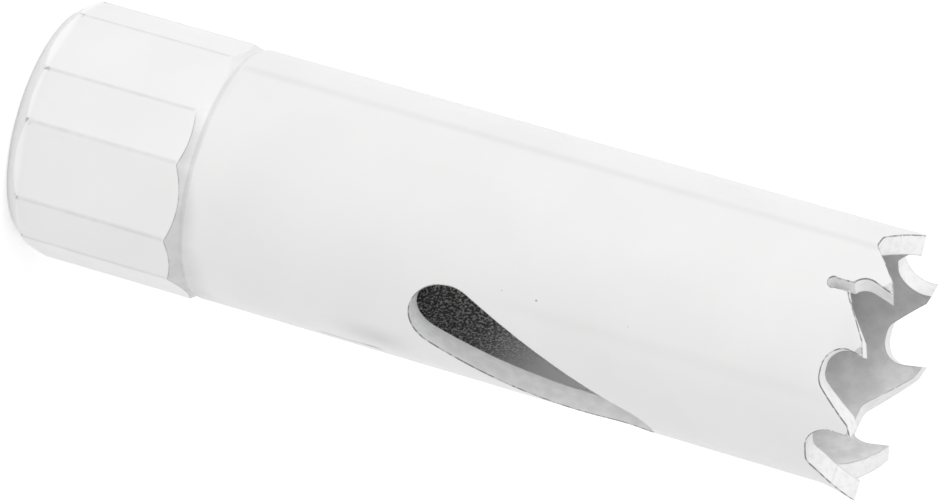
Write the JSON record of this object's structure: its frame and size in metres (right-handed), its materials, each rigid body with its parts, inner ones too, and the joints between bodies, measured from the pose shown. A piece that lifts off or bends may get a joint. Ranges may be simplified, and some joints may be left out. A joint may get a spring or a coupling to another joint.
{
  "type": "bimetal hole saw",
  "caption": "Small bimetal hole saw: a slim cylindrical cup with unevenly spaced set teeth, one slanted chip slot, a seam slit, and a faceted base with a threaded bore",
  "frame": {"origin": "centre of the rear face of the threaded base, which the saw stands on", "axes": "+Z runs along the saw's axis from the base to the teeth; the picture's camera looks at the side that faces -Y"},
  "size_m": [0.0166, 0.0167, 0.056],
  "materials": {
    "base_paint": "satin white paint over steel",
    "cup_paint": "satin white paint over spring steel, worn at the cut edges",
    "edge_steel": "ground high speed steel with thin white paint"
  },
  "bodies": {
    "root": {"base_plug": "base_paint", "shell": "cup_paint", "tooth_tips": "edge_steel"}
  },
  "joints": []
}
